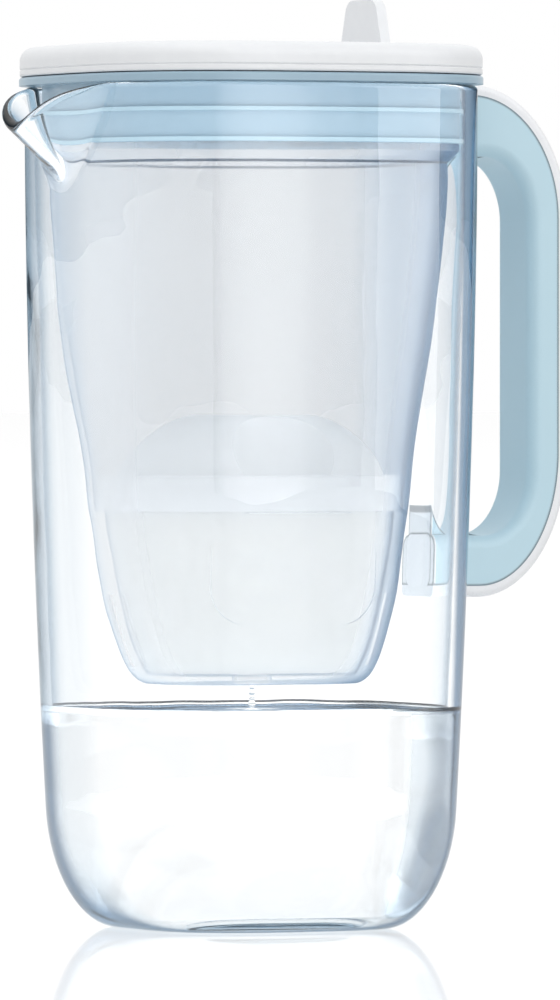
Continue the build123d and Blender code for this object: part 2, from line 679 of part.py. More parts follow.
def lid_base():
    """Lower half of the lid: deck with the fill opening and a locating rib in the collar."""
    deck = slab(LID_HALF, LID_HALF, LID_LOW_Z, DECK_TOP_Z)
    deck = fillet(deck.edges().group_by(Axis.Z)[0], DECK_EDGE)
    deck = chamfer(deck.edges().group_by(Axis.Z)[-1], LID_GROOVE)
    plug = ring(PLUG_HALF, PLUG_HALF - PLUG_WALL, LID_LOW_Z - PLUG_DEEP, LID_LOW_Z)
    fill = flap_plan(-FLAP_LEDGE, LID_LOW_Z, DECK_TOP_Z)
    cell_hole = disc(CELL_X, CELL_Y, CELL_RADIUS + CELL_COVER_LAP, LID_LOW_Z, DECK_TOP_Z)
    return deck + plug - [fill, cell_hole]


def lid_top():
    """Crown of the lid with the flap's seat, the tab's slot, hinge bosses and button hole."""
    crown = slab(LID_HALF, LID_HALF, DECK_TOP_Z, CROWN_Z)
    crown = fillet(crown.edges().group_by(Axis.Z)[-1], LID_EDGE)
    crown = chamfer(crown.edges().group_by(Axis.Z)[0], LID_GROOVE)
    hollow_half = LID_HALF - LID_WALL
    hollow = slab(hollow_half, hollow_half, DECK_TOP_Z, CROWN_UNDER_Z)
    slot_x = HINGE_X + TAB_SWING
    slot_front = FLAP_REAR_X - FLAP_CORNER
    well = flap_plan(FLAP_LEDGE, DECK_TOP_Z, CROWN_UNDER_Z)
    wall_half_y = PIN_HALF + BOSS_WALL
    slot_wall = block(slot_front, slot_x + LID_WALL, -wall_half_y, wall_half_y, DECK_TOP_Z,
                      CROWN_UNDER_Z)
    seat = flap_plan(FLAP_GAP, LEDGE_Z, CROWN_Z)
    rear_relief = block(slot_front, FLAP_REAR_X + 2 * FLAP_GAP, -PIN_HALF, PIN_HALF,
                        LEDGE_Z, CROWN_Z)
    fill = flap_plan(-FLAP_LEDGE, DECK_TOP_Z, LEDGE_Z)
    slot = block(slot_front, slot_x, -BOSS_START, BOSS_START, DECK_TOP_Z, CROWN_Z)
    button_hole = disc(BUTTON_X, BUTTON_Y, BUTTON_RADIUS + BUTTON_GAP, CROWN_UNDER_Z, CROWN_Z)
    lid = crown - hollow + [well, slot_wall]
    return lid - [seat, rear_relief, fill, slot, hinge_pin(), button_hole]


def hinge_pin():
    """Steel pin through both bosses and the flap's barrel."""
    return Pos(HINGE_X, 0, HINGE_Z) * Rot(90, 0, 0) * Cylinder(PIN_RADIUS, 2 * PIN_HALF)


def flip_lid():
    """Flap, hinge barrel and upright thumb tab in one piece."""
    plate = flap_plan(0.0, FLAP_LOW_Z, CROWN_Z)
    barrel = Pos(HINGE_X, 0, HINGE_Z) * Rot(90, 0, 0) * Cylinder(BARREL_RADIUS, 2 * BARREL_HALF)
    bridge = block(FLAP_REAR_X - BRIDGE_LAP, HINGE_X, -BARREL_HALF, BARREL_HALF, FLAP_LOW_Z,
                   CROWN_Z)
    tab_face = make_face(Polyline(
        (-TAB_WIDE / 2, HINGE_Z), (TAB_WIDE / 2, HINGE_Z), (TAB_TOP_WIDE / 2, TAB_Z),
        (-TAB_TOP_WIDE / 2, TAB_Z), close=True))
    tab = extrude(Plane.YZ * tab_face, TAB_THICK / 2, both=True)
    top_corners = tab.edges().filter_by(Axis.X).group_by(Axis.Z)[-1]
    tab = fillet(top_corners, TAB_CORNER)
    tab = Pos(HINGE_X, 0, 0) * tab
    bore = Pos(HINGE_X, 0, HINGE_Z) * Rot(90, 0, 0) * Cylinder(
        PIN_RADIUS + PIN_CLEARANCE, 2 * BARREL_HALF)
    return plate + barrel + bridge + tab - bore


# Change indicator

def indicator_button():
    """Translucent button with a retaining flange under the crown."""
    flange_top = CROWN_UNDER_Z - FIT_GAP
    flange_low = flange_top - BUTTON_FLANGE_THICK
    cap = disc(BUTTON_X, BUTTON_Y, BUTTON_RADIUS, flange_low, CROWN_Z + BUTTON_PROUD)
    cap = fillet(cap.edges().group_by(Axis.Z)[-1], BUTTON_EDGE)
    return cap + disc(BUTTON_X, BUTTON_Y, BUTTON_RADIUS + BUTTON_FLANGE, flange_low, flange_top)


def circuit_board():
    """Board on the lid's deck with the switch that the button presses."""
    low = DECK_TOP_Z
    board = block(BUTTON_X - BOARD_WIDE / 2, BUTTON_X + BOARD_WIDE / 2,
                  BUTTON_Y - BOARD_LONG / 2, BUTTON_Y + BOARD_LONG / 2, low, low + BOARD_THICK)
    flange_low = CROWN_UNDER_Z - FIT_GAP - BUTTON_FLANGE_THICK
    top = flange_low - BUTTON_STROKE - FIT_GAP
    half = SWITCH_SIDE / 2
    switch = block(BUTTON_X - half, BUTTON_X + half, BUTTON_Y - half, BUTTON_Y + half,
                   low + BOARD_THICK, top)
    cell_room = disc(CELL_X, CELL_Y, CELL_RADIUS + CELL_COVER_LAP, low, low + BOARD_THICK)
    return board + switch - cell_room


def coin_cell():
    """Button cell that feeds the indicator."""
    return disc(CELL_X, CELL_Y, CELL_RADIUS, DECK_TOP_Z, DECK_TOP_Z + CELL_THICK)


def battery_cover():
    """Round cover under the cell, turned out with a coin."""
    cover = disc(CELL_X, CELL_Y, CELL_RADIUS + CELL_COVER_LAP, LID_LOW_Z, DECK_TOP_Z)
    long, wide = COIN_SLOT_LONG / 2, COIN_SLOT_WIDE / 2
    slot = block(CELL_X - long, CELL_X + long, CELL_Y - wide, CELL_Y + wide, LID_LOW_Z,
                 LID_LOW_Z + COIN_SLOT_DEEP)
    return cover - slot


def build():
    """Every piece under the name of its node."""
    core, grip, shell = handle_parts()
    return {
        "glass_jug": glass_jug(),
        "handle_core": core,
        "handle_grip": grip,
        "handle_shell": shell,
        "upper_mount_pad": mount_pad(True),
        "lower_mount_pad": mount_pad(False),
        "handle_screws": Compound(children=[handle_screw(True), handle_screw(False)]),
        "funnel": funnel(),
        "collar_ring": collar_ring(),
        "upper_seal": seal_ring(SEAL_UPPER_Z),
        "lower_seal": seal_ring(SEAL_LOWER_Z),
        "cartridge_cup": cartridge_cup(),
        "cartridge_cap": cartridge_cap(),
        "filter_media": filter_media(),
        "upper_mesh": upper_mesh(),
        "lower_mesh": lower_mesh(),
        "lid_base": lid_base(),
        "lid_top": lid_top(),
        "hinge_pin": hinge_pin(),
        "flip_lid": flip_lid(),
        "indicator_button": indicator_button(),
        "circuit_board": circuit_board(),
        "coin_cell": coin_cell(),
        "battery_cover": battery_cover(),
    }


os.makedirs("parts", exist_ok=True)
for node, shape in build().items():
    export_step(shape, f"parts/{node}.step")
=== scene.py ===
import math

import bpy
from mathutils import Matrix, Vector
import numpy as np


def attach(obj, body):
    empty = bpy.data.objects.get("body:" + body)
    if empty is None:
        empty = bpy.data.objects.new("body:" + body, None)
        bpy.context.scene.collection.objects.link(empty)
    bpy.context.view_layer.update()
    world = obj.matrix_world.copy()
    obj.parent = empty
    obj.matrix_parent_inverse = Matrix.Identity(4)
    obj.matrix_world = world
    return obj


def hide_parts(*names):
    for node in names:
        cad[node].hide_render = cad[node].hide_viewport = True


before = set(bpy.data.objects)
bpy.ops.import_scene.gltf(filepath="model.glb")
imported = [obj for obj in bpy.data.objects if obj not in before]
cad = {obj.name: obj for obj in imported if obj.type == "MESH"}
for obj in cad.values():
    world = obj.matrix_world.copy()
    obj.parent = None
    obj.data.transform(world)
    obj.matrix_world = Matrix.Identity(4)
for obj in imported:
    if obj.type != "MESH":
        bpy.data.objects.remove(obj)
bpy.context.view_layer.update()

# ------------------------------------------------------------------------------------------------
# Glass body
# The jug is one piece of clear soda-lime glass, pressed and fire polished: a rounded-square beaker
# with an even wall, a thick base and a beak drawn out of the rim. The handle is bonded to it later.
# ------------------------------------------------------------------------------------------------
MM = 0.001                 # sizes are in millimetres, Blender's own are in metres

RIM_HIGH = 257.0
RIM_HALF = 63.6
BODY_TAPER = 7.8
GLASS_WALL = 3.6
BASE_THICK = 7.0
HEEL_WIDE, HEEL_TALL = 18.0, 36.0
BEAK_START_HIGH = 229.0
BEAK_LEAN = 1.12           # outward run for each millimetre of height
BEAK_CURVE = 0.0415        # in plan a parabola, which falls back by this much times the square of y
BEAK_SPREAD = 0.95         # the flanks end inside the body, this far round from the tip, in radians
BEAK_SOFT = 4.0            # how softly the beak's flanks run into the body
LIP_DIP, LIP_DIP_HALF = 11.4, 31.0
EVEN_WALL_HIGH, EVEN_WALL_RISE = 190.0, 25.0   # from this height the inside comes to follow the beak
FLAT_SHARES = (0.0, 0.35, 0.7, 0.9, 0.97)      # rows across the flat of the foot and of the floor
ROUND_ROWS, SIDE_ROWS, RIM_ROWS, JUG_TURNS = 17, 80, 13, 456


def wall_half(high):
    """Half width of the body at a height: the rim's, less the taper times the 1.8th power of the
    share of the way down."""
    return RIM_HALF - BODY_TAPER * ((RIM_HIGH - np.minimum(high, RIM_HIGH)) / RIM_HIGH) ** 1.8


def in_space(reach, turn, high):
    """Points in metres from a distance from the axis, a turn round it and a height: the distance
    times the turn's cosine and sine, and the height."""
    level = high * np.ones_like(reach)
    return np.stack([reach * np.cos(turn), reach * np.sin(turn), level], axis=-1) * MM


def square_reach(turn, half):
    """Distance from the axis to the rounded square, on which the cubes of x and y, each divided by
    the half width, add up to one."""
    return half * (np.abs(np.cos(turn)) ** 3 + np.abs(np.sin(turn)) ** 3) ** (-1 / 3)


def square_point(turn, half, high):
    """Points of the rounded square of that half width at a height, in metres."""
    return in_space(square_reach(turn, half), turn, high)


def beak_reach(turn, tip):
    """Distance from the axis to the beak's parabola with its tip that far out, along rays at a turn
    from the handle's side: the root of the quadratic that a ray and the parabola share."""
    off = np.abs(np.angle(np.exp(1j * (turn - math.pi))))
    root = np.sqrt(np.cos(off) ** 2 + 4 * BEAK_CURVE * tip * np.sin(off) ** 2)
    return np.where(off < BEAK_SPREAD, 2 * tip / np.maximum(np.cos(off) + root, 1e-6), 0.0)


def soft_larger(a, b, soft):
    """The larger of two lengths, with a fillet of about that size where they are equal: a blend by
    the share, plus the size times the share times what is left of one."""
    share = np.clip(0.5 + 0.5 * (a - b) / soft, 0, 1)
    return b + (a - b) * share + soft * share * (1 - share)


def jug_reach(turn, high):
    """Distance from the axis to the glass: the rounded square, or the beak where it stands further
    out, its tip moving out in proportion to the height."""
    body = square_reach(turn, wall_half(high))
    tip = wall_half(BEAK_START_HIGH) + BEAK_LEAN * (high - BEAK_START_HIGH)
    return soft_larger(body, beak_reach(turn, np.maximum(tip, 1.0) * np.ones_like(body)), BEAK_SOFT)


def jug_point(turn, high):
    """Points of the glass's outside above its heel at a height, in metres."""
    return in_space(jug_reach(turn, high), turn, high)


def jug_normal(turn, high):
    """Outward unit normal of the glass's outside: its step round the axis crossed with its step
    upwards."""
    turn_step, high_step = 1e-3, 1
    around = jug_point(turn + turn_step, high) - jug_point(turn - turn_step, high)
    upwards = jug_point(turn, high + high_step) - jug_point(turn, high - high_step)
    out = np.cross(around, upwards)
    return out / np.linalg.norm(out, axis=-1, keepdims=True)


def lip_high(across):
    """Height of the rim: level, with a bell-shaped dip of LIP_DIP at the beak that ends LIP_DIP_HALF
    to each side, half of one plus a cosine."""
    share = np.clip(np.abs(across) / LIP_DIP_HALF, 0, 1)
    return RIM_HIGH - LIP_DIP * 0.5 * (1 + np.cos(math.pi * share))


def closed_skin(name, rows):
    """A closed mesh from rows of points round an axis (row, turn, xyz). The first and the last row
    are single points."""
    count, turns = rows.shape[:2]
    points = np.concatenate([rows[:1, 0], rows[1:-1].reshape(-1, 3), rows[-1:, 0]])
    ring = 1 + np.arange((count - 2) * turns).reshape(count - 2, turns)
    ahead = np.roll(ring, -1, axis=1)
    quads = np.stack([ring[:-1], ahead[:-1], ahead[1:], ring[1:]], axis=-1).reshape(-1, 4)
    first = np.stack([np.zeros(turns, int), ahead[0], ring[0]], axis=-1)
    last = np.stack([ring[-1], ahead[-1], np.full(turns, len(points) - 1)], axis=-1)
    return mesh_piece(name, points, quads.tolist() + first.tolist() + last.tolist())


def mesh_piece(name, points, faces):
    """A smooth-shaded object at the origin with those points, in metres, and faces."""
    mesh = bpy.data.meshes.new(name)
    mesh.from_pydata(points.tolist(), [], faces)
    mesh.polygons.foreach_set("use_smooth", np.ones(len(faces), bool))
    mesh.update()
    piece = bpy.data.objects.new(name, mesh)
    bpy.context.scene.collection.objects.link(piece)
    return piece


def rim_top(turn):
    """Height of the outside's last row, from which a half round of the wall's thickness reaches up to
    the rim."""
    top = np.full_like(turn, RIM_HIGH)
    for _ in range(12):        # the dip depends on y, and y on the height
        lip = np.where(np.cos(turn) < 0, lip_high(jug_reach(turn, top) * np.sin(turn)), RIM_HIGH)
        top = lip - GLASS_WALL / 2 * (1 - jug_normal(turn, lip - GLASS_WALL)[:, 2])
    return top


def jug_rows(turn):
    """Rows of the glass from the middle of its underside, up the outside, over the rim and down the
    inside to its floor. Near the rim the inside is the outside moved in along its normal, lower down
    it is the rounded square less the wall."""
    quarter = np.linspace(0, math.pi / 2, ROUND_ROWS)
    share = 1 - (1 - np.linspace(0, 1, SIDE_ROWS)[1:]) ** 1.6     # closer rows near the rim
    foot = square_reach(turn, wall_half(0.0) - HEEL_WIDE)
    top = rim_top(turn)

    rows = [in_space(foot * s, turn, 0.0) for s in FLAT_SHARES]
    for a in quarter:
        high = HEEL_TALL * (1 - math.cos(a))
        rows.append(square_point(turn, wall_half(high) - HEEL_WIDE * (1 - math.sin(a)), high))
    for s in share:
        rows.append(jug_point(turn, HEEL_TALL + (top - HEEL_TALL) * s))

    edge = rows[-1]
    out = jug_normal(turn, top)
    run = np.roll(edge, -1, axis=0) - np.roll(edge, 1, axis=0)
    up = np.cross(out, run)
    up /= np.linalg.norm(up, axis=-1, keepdims=True)
    half = GLASS_WALL / 2 * MM
    over = np.linspace(0, math.pi, RIM_ROWS)[1:-1]
    rows += [edge + half * (out * (math.cos(a) - 1) + up * math.sin(a)) for a in over]

    inner_heel = BASE_THICK + HEEL_TALL
    for s in share[::-1]:
        high = inner_heel + (top - inner_heel) * s
        plain = square_point(turn, wall_half(high) - GLASS_WALL, high)
        moved = jug_point(turn, high) - jug_normal(turn, high) * GLASS_WALL * MM
        near_rim = np.clip((high - EVEN_WALL_HIGH) / EVEN_WALL_RISE, 0, 1)[:, None]
        rows.append(plain + (moved - plain) * near_rim)
    for a in quarter[::-1]:
        high = BASE_THICK + HEEL_TALL * (1 - math.cos(a))
        inset = GLASS_WALL + HEEL_WIDE * (1 - math.sin(a))
        rows.append(square_point(turn, wall_half(high) - inset, high))
    floor = square_reach(turn, wall_half(BASE_THICK) - GLASS_WALL - HEEL_WIDE)
    rows += [in_space(floor * s, turn, BASE_THICK) for s in FLAT_SHARES[::-1]]
    return np.stack(rows)


even = np.arange(JUG_TURNS) * 2 * math.pi / JUG_TURNS
jug = closed_skin("jug_glass", jug_rows(even + 0.5 * np.sin(even)))      # closer together at the beak


def linear(hex_colour):
    """RGBA for a shader socket from an sRGB hex colour: a channel above 0.04045 has 0.055 added, is
    divided by 1.055 and raised to the 2.4th power, a lower one is divided by 12.92."""
    channels = [int(hex_colour[i:i + 2], 16) / 255 for i in (1, 3, 5)]
    return [c / 12.92 if c <= 0.04045 else ((c + 0.055) / 1.055) ** 2.4 for c in channels] + [1.0]


def add(tree, kind, sockets={}, **settings):
    """Adds a node of that kind: settings are its properties, sockets its inputs, each a value or
    another node's output."""
    made = tree.nodes.new(kind)
    for name, value in settings.items():
        setattr(made, name, value)
    for name, value in sockets.items():
        if isinstance(value, bpy.types.NodeSocket):
            tree.links.new(value, made.inputs[name])
        else:
            made.inputs[name].default_value = value
    return made


def new_material(name):
    """An empty node material, and its Object coordinates."""
    material = bpy.data.materials.new(name)
    material.use_nodes = True
    material.node_tree.nodes.clear()
    tree = material.node_tree
    return material, tree, add(tree, "ShaderNodeTexCoord").outputs["Object"]


def dress(material, *objects):
    """Puts the material on every slot of the objects."""
    for o in objects:
        if not o.material_slots:
            o.data.materials.append(material)
        for each in o.material_slots:
            each.material = material


def let_light_through(tree, surface, colour):
    """Mixes a surface, for the rays that carry light, with a plain transparent one of that colour:
    light that a clear piece bends would not be resolved."""
    ray = add(tree, "ShaderNodeLightPath")
    carries = add(tree, "ShaderNodeMath", {
        0: ray.outputs["Is Shadow Ray"], 1: ray.outputs["Is Diffuse Ray"]}, operation="MAXIMUM")
    straight = add(tree, "ShaderNodeBsdfTransparent", {"Color": linear(colour)})
    return add(tree, "ShaderNodeMixShader", {
        "Fac": carries.outputs[0], 1: surface.outputs[0], 2: straight.outputs[0]})


# Soda-lime glass, fire polished. Clear at the middle; looked along, the wall shows the blue of its
# iron, and its colour there also carries a painted reflection, a steel blue standing for the dark of
# the room, with more painted shade on the near corner towards the handle and on the flanks below the
# water's level. The pressing leaves slow waves, 25 mm from crest to crest and a few hundredths deep.
clear_glass, tree, place = new_material("clear_soda_lime_glass")
waves = add(tree, "ShaderNodeTexNoise", {
    "Vector": place, "Scale": 1 / 0.025, "Detail": 1.0, "Roughness": 0.4})
wavy = add(tree, "ShaderNodeBump", {"Strength": 0.25, "Distance": 0.0006, "Height": waves.outputs[0]})
glance = add(tree, "ShaderNodeLayerWeight", {"Blend": 0.5})
spot = add(tree, "ShaderNodeSeparateXYZ", {0: place})
# Painted reflection: the more flatly the wall is seen, the more its colour goes to steel blue for the
# room's dark, on top of the iron's blue.
edge = add(tree, "ShaderNodeValToRGB", {"Fac": glance.outputs["Facing"]})
edge.color_ramp.elements[0].position, edge.color_ramp.elements[0].color = 0.52, linear("#FFFFFF")
edge.color_ramp.elements[1].position, edge.color_ramp.elements[1].color = 0.95, linear("#7F98AB")
for position, colour in ((0.62, "#DCE5EC"), (0.70, "#A9BBCB"), (0.80, "#6F8AA2")):
    edge.color_ramp.elements.new(position).color = linear(colour)
smooth = {"interpolation_type": "SMOOTHSTEP"}
# Painted shade: steel blue on the near corner towards the handle, and on the flanks below the water's
# level.
handle_side = add(tree, "ShaderNodeMapRange", {
    "Value": spot.outputs["X"], "From Min": 0.0430, "From Max": 0.0470}, **smooth)
near_side = add(tree, "ShaderNodeMapRange", {
    "Value": spot.outputs["Y"], "From Min": -0.030, "From Max": -0.038}, **smooth)
skimmed = add(tree, "ShaderNodeMapRange", {
    "Value": glance.outputs["Facing"], "From Min": 0.48, "From Max": 0.57}, **smooth)
under_water = add(tree, "ShaderNodeMapRange", {
    "Value": spot.outputs["Z"], "From Min": 0.069, "From Max": 0.060}, **smooth)
flank = add(tree, "ShaderNodeMapRange", {
    "Value": glance.outputs["Facing"], "From Min": 0.62, "From Max": 0.74}, **smooth)
corner = add(tree, "ShaderNodeMath", {
    0: handle_side.outputs[0], 1: near_side.outputs[0]}, operation="MULTIPLY")
right = add(tree, "ShaderNodeMath", {0: corner.outputs[0], 1: skimmed.outputs[0]}, operation="MULTIPLY")
low = add(tree, "ShaderNodeMath", {0: under_water.outputs[0], 1: flank.outputs[0]}, operation="MULTIPLY")
painted_shade_share = add(tree, "ShaderNodeMath", {0: right.outputs[0], 1: low.outputs[0]}, operation="MAXIMUM")
painted_shade_tint = add(tree, "ShaderNodeMix", {
    "Factor": painted_shade_share.outputs[0], "A": linear("#FFFFFF"), "B": linear("#566F89")}, data_type="RGBA")
hue_and_shade = add(tree, "ShaderNodeMix", {
    "Factor": 1.0, "A": edge.outputs["Color"], "B": painted_shade_tint.outputs["Result"]},
    data_type="RGBA", blend_type="MULTIPLY")
glass = add(tree, "ShaderNodeBsdfPrincipled", {
    "Base Color": hue_and_shade.outputs["Result"], "Roughness": 0.0, "IOR": 1.5, "Transmission Weight": 1.0,
    "Normal": wavy.outputs[0]})
depth = add(tree, "ShaderNodeVolumeAbsorption", {"Color": linear("#B9DCEC"), "Density": 7.0})
pane = let_light_through(tree, glass, "#FCFDFE")
add(tree, "ShaderNodeOutputMaterial", {"Surface": pane.outputs[0], "Volume": depth.outputs[0]})
dress(clear_glass, jug, cad["glass_jug"])
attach(jug, "jug")
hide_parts("glass_jug")

# ------------------------------------------------------------------------------------------------
# Handle
# A white core carries a light blue grip moulded over it and a white outer shell snapped round its
# back. Two pads bonded to the glass take its steel screws.
# ------------------------------------------------------------------------------------------------
BOND_LOW, BOND_HIGH = 104.0, 255.0             # heights between which the arms meet the glass
BOND_LOW_REACH, BOND_HIGH_REACH = 62.1, 64.5   # how far from the axis the bonding film ends there

# Light blue ABS from a spark-eroded mould: a fine satin grain, 0.6 mm so that it shows at all. The
# end faces, within half a millimetre of the glass, carry a white bonding film: their distance from
# the axis grows with the wall's. Along the sharp edge against the shell, an occlusion mask paints a
# dark line of shade, the shadow in the gap between grip and shell.
blue_grip, tree, place = new_material("light_blue_satin_abs")
grain = add(tree, "ShaderNodeTexNoise", {"Vector": place, "Scale": 1 / 0.0006, "Detail": 2.0})
cloud = add(tree, "ShaderNodeTexNoise", {"Vector": place, "Scale": 1 / 0.03, "Detail": 2.0})
blue = add(tree, "ShaderNodeMix", {
    "Factor": cloud.outputs[0], "A": linear("#B9D7E3"), "B": linear("#C0DCE7")}, data_type="RGBA")
spot = add(tree, "ShaderNodeSeparateXYZ", {0: place})
face = add(tree, "ShaderNodeMapRange", {
    "Value": spot.outputs["Z"], "From Min": BOND_LOW * MM, "From Max": BOND_HIGH * MM,
    "To Min": BOND_LOW_REACH * MM, "To Max": BOND_HIGH_REACH * MM})
bonded = add(tree, "ShaderNodeMath", {0: spot.outputs["X"], 1: face.outputs[0]}, operation="LESS_THAN")
moulded = add(tree, "ShaderNodeMix", {
    "Factor": bonded.outputs[0], "A": blue.outputs["Result"], "B": linear("#EDEFF1")}, data_type="RGBA")
# Painted shade: occlusion near the sharp edge against the shell darkens it to a dark line.
corner = add(tree, "ShaderNodeAmbientOcclusion", {"Distance": 0.0010},
             samples=8, inside=True, only_local=True)
seam_shade = add(tree, "ShaderNodeMapRange", {
    "Value": corner.outputs["AO"], "From Min": 0.92, "From Max": 0.70, "To Max": 0.8})
tone = add(tree, "ShaderNodeMix", {
    "Factor": seam_shade.outputs[0], "A": moulded.outputs["Result"], "B": linear("#3E4E5A")}, data_type="RGBA")
rough = add(tree, "ShaderNodeMapRange", {"Value": grain.outputs[0], "To Min": 0.36, "To Max": 0.46})
bump = add(tree, "ShaderNodeBump", {"Strength": 0.15, "Distance": 0.00004, "Height": grain.outputs[0]})
plastic = add(tree, "ShaderNodeBsdfPrincipled", {
    "Base Color": tone.outputs["Result"], "Roughness": rough.outputs[0], "IOR": 1.5,
    "Normal": bump.outputs[0]})
add(tree, "ShaderNodeOutputMaterial", {"Surface": plastic.outputs[0]})
dress(blue_grip, cad["handle_grip"])

# White ABS, satin gloss from a polished mould with faint orange peel, 4 mm from crest to crest.
white_shell, tree, place = new_material("white_gloss_abs")
peel = add(tree, "ShaderNodeTexNoise", {"Vector": place, "Scale": 1 / 0.004, "Detail": 2.0})
grain = add(tree, "ShaderNodeTexNoise", {"Vector": place, "Scale": 1 / 0.0007, "Detail": 1.0})
tone = add(tree, "ShaderNodeMix", {
    "Factor": peel.outputs[0], "A": linear("#ECEDF0"), "B": linear("#F1F2F4")}, data_type="RGBA")
rough = add(tree, "ShaderNodeMapRange", {"Value": grain.outputs[0], "To Min": 0.24, "To Max": 0.34})
bump = add(tree, "ShaderNodeBump", {"Strength": 0.12, "Distance": 0.0001, "Height": peel.outputs[0]})
plastic = add(tree, "ShaderNodeBsdfPrincipled", {
    "Base Color": tone.outputs["Result"], "Roughness": rough.outputs[0], "IOR": 1.5,
    "Normal": bump.outputs[0]})
add(tree, "ShaderNodeOutputMaterial", {"Surface": plastic.outputs[0]})
dress(white_shell, cad["handle_shell"], cad["handle_core"], cad["upper_mount_pad"],
      cad["lower_mount_pad"])

# Stainless steel screws, turned bright, and the hinge's ground pin: a mirror that fine marks blur.
steel, tree, place = new_material("turned_stainless_steel")
rings = add(tree, "ShaderNodeTexNoise", {"Vector": place, "Scale": 1 / 0.0005, "Detail": 3.0})
rough = add(tree, "ShaderNodeMapRange", {"Value": rings.outputs[0], "To Min": 0.18, "To Max": 0.36})
metal = add(tree, "ShaderNodeBsdfPrincipled", {
    "Base Color": linear("#C9CACB"), "Metallic": 1.0, "Roughness": rough.outputs[0]})
add(tree, "ShaderNodeOutputMaterial", {"Surface": metal.outputs[0]})
dress(steel, cad["handle_screws"], cad["hinge_pin"])

# ------------------------------------------------------------------------------------------------
# Funnel
# The lift-out funnel is moulded from thin clear styrene copolymer. A collar closes it over the glass
# rim, and two soft rings on the collar's skirt seal it in the glass.
# ------------------------------------------------------------------------------------------------
# The line along the fold is a painted shadow.
FOLD_HIGH, FOLD_SHADOW_HALF = 233.4, 0.4      # the fold under the brim, and half the height of its line

# Clear styrene copolymer with a trace of haze. Looked along, its walls carry painted shade in
# blue-grey, more so towards the handle, and a painted shadow line marks the fold under its level brim.
clear_san, tree, place = new_material("clear_styrene_copolymer")
flow = add(tree, "ShaderNodeTexNoise", {"Vector": place, "Scale": 1 / 0.03, "Detail": 2.0})
glance = add(tree, "ShaderNodeLayerWeight", {"Blend": 0.5})
spot = add(tree, "ShaderNodeSeparateXYZ", {0: place})
# Painted shade: the walls darken more the nearer they are to the handle's side and the more flatly they
# are seen.
handle_side = add(tree, "ShaderNodeMapRange", {
    "Value": spot.outputs["X"], "From Min": -0.045, "From Max": 0.045, "To Min": -0.22, "To Max": 0.16})
along = add(tree, "ShaderNodeMath", {
    0: glance.outputs["Facing"], 1: handle_side.outputs[0]}, operation="ADD")
edge = add(tree, "ShaderNodeValToRGB", {"Fac": along.outputs[0]})
edge.color_ramp.elements[0].position, edge.color_ramp.elements[0].color = 0.40, linear("#F5F5F5")
edge.color_ramp.elements[1].position, edge.color_ramp.elements[1].color = 0.95, linear("#8FA6BB")
for position, colour in ((0.58, "#ECF0F4"), (0.70, "#CDD8E2"), (0.82, "#9DB2C5")):
    edge.color_ramp.elements.new(position).color = linear(colour)
# Painted shadow: a dark line along the fold under the brim.
fold_shadow = add(tree, "ShaderNodeMath", {
    0: spot.outputs["Z"], 1: FOLD_HIGH * MM, 2: FOLD_SHADOW_HALF * MM}, operation="COMPARE")
shade = add(tree, "ShaderNodeMix", {
    "Factor": fold_shadow.outputs[0], "A": edge.outputs["Color"], "B": linear("#A3ABB5")}, data_type="RGBA")
window = add(tree, "ShaderNodeBsdfTransparent", {"Color": shade.outputs["Result"]})
tone = add(tree, "ShaderNodeMix", {
    "Factor": flow.outputs[0], "A": linear("#EEF0F3"), "B": linear("#F3F4F6")}, data_type="RGBA")
dim = add(tree, "ShaderNodeMix", {
    "Factor": 1.0, "A": tone.outputs["Result"], "B": shade.outputs["Result"]},
    data_type="RGBA", blend_type="MULTIPLY")
skin = add(tree, "ShaderNodeBsdfPrincipled", {
    "Base Color": dim.outputs["Result"], "Roughness": 0.12, "IOR": 1.5})
back = add(tree, "ShaderNodeBsdfTranslucent", {"Color": dim.outputs["Result"]})
milk = add(tree, "ShaderNodeMixShader", {"Fac": 0.55, 1: skin.outputs[0], 2: back.outputs[0]})
cover = add(tree, "ShaderNodeMapRange", {
    "Value": glance.outputs["Facing"], "To Min": 0.14, "To Max": 0.55})
walls = add(tree, "ShaderNodeMixShader", {
    "Fac": cover.outputs[0], 1: window.outputs[0], 2: milk.outputs[0]})
surface = let_light_through(tree, walls, "#FBFCFD")
add(tree, "ShaderNodeOutputMaterial", {"Surface": surface.outputs[0]})
dress(clear_san, cad["funnel"])

# Collar: light blue ABS from a polished mould, glossy, with faint orange peel.
blue_collar, tree, place = new_material("light_blue_gloss_abs")
peel = add(tree, "ShaderNodeTexNoise", {"Vector": place, "Scale": 1 / 0.004, "Detail": 2.0})
tone = add(tree, "ShaderNodeMix", {
    "Factor": peel.outputs[0], "A": linear("#98B3C4"), "B": linear("#9FB9C9")}, data_type="RGBA")
rough = add(tree, "ShaderNodeMapRange", {"Value": peel.outputs[0], "To Min": 0.25, "To Max": 0.35})
plastic = add(tree, "ShaderNodeBsdfPrincipled", {
    "Base Color": tone.outputs["Result"], "Roughness": rough.outputs[0], "IOR": 1.5})
add(tree, "ShaderNodeOutputMaterial", {"Surface": plastic.outputs[0]})
dress(blue_collar, cad["collar_ring"])

# Seals: pale blue thermoplastic elastomer, moulded on the skirt, with a dull bloom.
seal_rubber, tree, place = new_material("translucent_elastomer")
bloom = add(tree, "ShaderNodeTexNoise", {"Vector": place, "Scale": 1 / 0.002, "Detail": 3.0})
tone = add(tree, "ShaderNodeMix", {
    "Factor": bloom.outputs[0], "A": linear("#A6C2D0"), "B": linear("#B2CCD8")}, data_type="RGBA")
rough = add(tree, "ShaderNodeMapRange", {"Value": bloom.outputs[0], "To Min": 0.45, "To Max": 0.6})
rubber = add(tree, "ShaderNodeBsdfPrincipled", {
    "Base Color": tone.outputs["Result"], "Roughness": rough.outputs[0], "IOR": 1.45})
add(tree, "ShaderNodeOutputMaterial", {"Surface": rubber.outputs[0]})
dress(seal_rubber, cad["upper_seal"], cad["lower_seal"])

